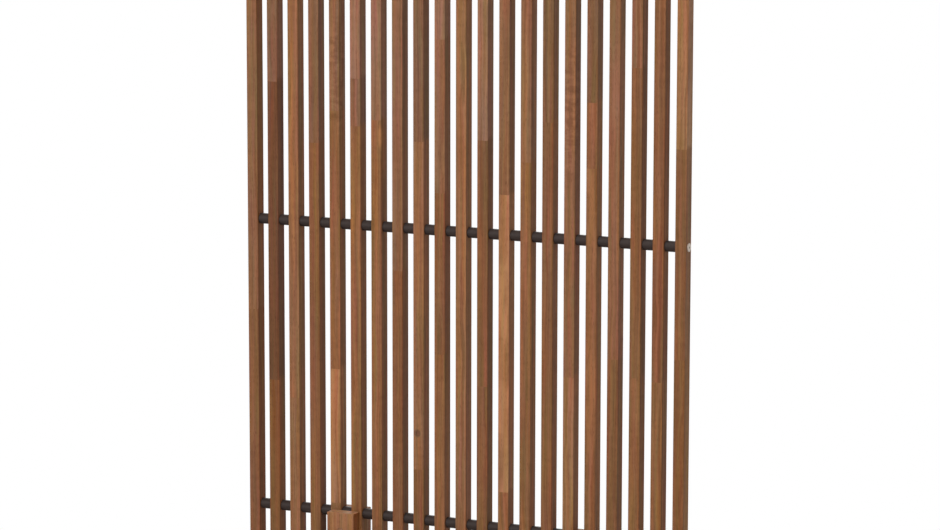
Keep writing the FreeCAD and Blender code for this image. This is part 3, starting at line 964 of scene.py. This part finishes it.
def seen(tree):
    """1 where the camera looks, straight or by a shiny or clear surface, and 0 for other light."""
    light_path = add_node(tree, "LightPath").outputs
    shown = add_node(tree, "Math", {"operation": "MAXIMUM"},
                     {0: light_path["Is Camera Ray"], 1: light_path["Is Glossy Ray"]}).outputs[0]
    return add_node(tree, "Math", {"operation": "MAXIMUM"},
                    {0: shown, 1: light_path["Is Transmission Ray"]}).outputs[0]


def lay_floor():
    """A pale floor that fades to plain white away from the screen."""
    deselect()
    bpy.ops.mesh.primitive_plane_add(size=FLOOR_SIZE, location=(0, 0, 0))
    floor = bpy.context.object
    floor.name = "floor"
    settle(floor)
    material, tree, shader = new_material("white_floor")
    shader.inputs["Base Color"].default_value = linear("#F2F2F1")
    shader.inputs["Roughness"].default_value = 0.9
    place = add_node(tree, "TexCoord").outputs["Object"]
    distance = add_node(tree, "VectorMath", {"operation": "LENGTH"}, {0: place}).outputs["Value"]
    fade = {"interpolation_type": "SMOOTHSTEP", "From Min": FLOOR_FADE[0], "From Max": FLOOR_FADE[1],
            "To Min": FLOOR_WHITE[0], "To Max": FLOOR_WHITE[1]}
    far = add_node(tree, "MapRange", fade, {"Value": distance}).outputs["Result"]
    share = add_node(tree, "Math", {"operation": "MULTIPLY"}, {0: far, 1: seen(tree)}).outputs[0]
    white = add_node(tree, "Emission", {"Color": (1, 1, 1, 1), "Strength": 1.0}).outputs[0]
    mixed = add_node(tree, "MixShader", links={0: share, 1: shader.outputs[0], 2: white}).outputs[0]
    tree.links.new(mixed, tree.nodes["Material Output"].inputs["Surface"])
    floor.data.materials.append(material)


def light_world():
    """An even grey-white sky that the camera and shiny surfaces see as white."""
    world = bpy.data.worlds.new("studio")
    bpy.context.scene.world = world
    world.use_nodes = True
    tree = world.node_tree
    background = tree.nodes["Background"]
    background.inputs["Color"].default_value = (1, 1, 1, 1)
    strength = add_node(tree, "MapRange", {"To Min": SKY_LEVEL, "To Max": 1.0}, {"Value": seen(tree)})
    tree.links.new(strength.outputs["Result"], background.inputs["Strength"])


def hang_lamp(name, place, aim, size, watts):
    """A square softbox that faces a point."""
    deselect()
    turn = (Vector(aim) - Vector(place)).to_track_quat("-Z", "Y").to_euler()
    bpy.ops.object.light_add(type="AREA", location=place, rotation=turn)
    lamp = bpy.context.object
    lamp.name = name
    lamp.data.shape = "SQUARE"
    lamp.data.size = size
    lamp.data.energy = watts


def place_camera():
    """The photograph's camera, with no shift."""
    deselect()
    bpy.ops.object.camera_add(location=CAMERA_PLACE)
    camera = bpy.context.object
    turn = Matrix.Rotation(math.radians(CAMERA_TURN), 4, "Z")
    tilt = Matrix.Rotation(math.radians(90 - CAMERA_TILT), 4, "X")
    roll = Matrix.Rotation(math.radians(-CAMERA_ROLL), 4, "Z")
    camera.rotation_euler = (turn @ tilt @ roll).to_euler()
    camera.data.sensor_width = CAMERA_SENSOR
    camera.data.lens = CAMERA_LENS
    camera.data.clip_start, camera.data.clip_end = CAMERA_REACH
    bpy.context.scene.camera = camera


# ---------------------------------------------------------------- the screen

slat_boxes = [box_of("slat_%02d" % number) for number in range(1, SLAT_COUNT + 1)]
rod_heights = []
for level in ("bottom", "middle", "top"):
    low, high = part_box(level + "_rod")
    rod_heights.append((low[2] + high[2]) / 2)

for number in range(1, SLAT_COUNT + 1):
    make_slat(number, rod_heights)
for level in ("bottom", "middle", "top"):
    make_spacers(level + "_spacers", slat_boxes)

for side, outward in (("left", -1), ("right", 1)):
    make_rod_nuts(side + "_rod_nuts", outward, rod_heights)
    low, high = box_of(side + "_clamp_bolts")
    foot_x = (low.x + high.x) / 2
    clamp_posts(side, foot_x)
    bolt_beam(side, foot_x)
    screw_glides(side, foot_x)

# What stays as the frame brings it: the rods, barrel nuts and dowels, all but hidden in the wood.
CARRIED = {"_rod": ZINC, "_barrel_nuts": ZINC, "_dowels": BEECH}
for node_name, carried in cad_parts.items():
    for ending, material in CARRIED.items():
        if node_name.endswith(ending):
            carried.data.materials.clear()
            carried.data.materials.append(material)

bpy.context.scene.view_settings.view_transform = "Standard"
lay_floor()
light_world()
for name, (place, aim, size, watts) in LAMPS.items():
    hang_lamp(name, place, aim, size, watts)
place_camera()
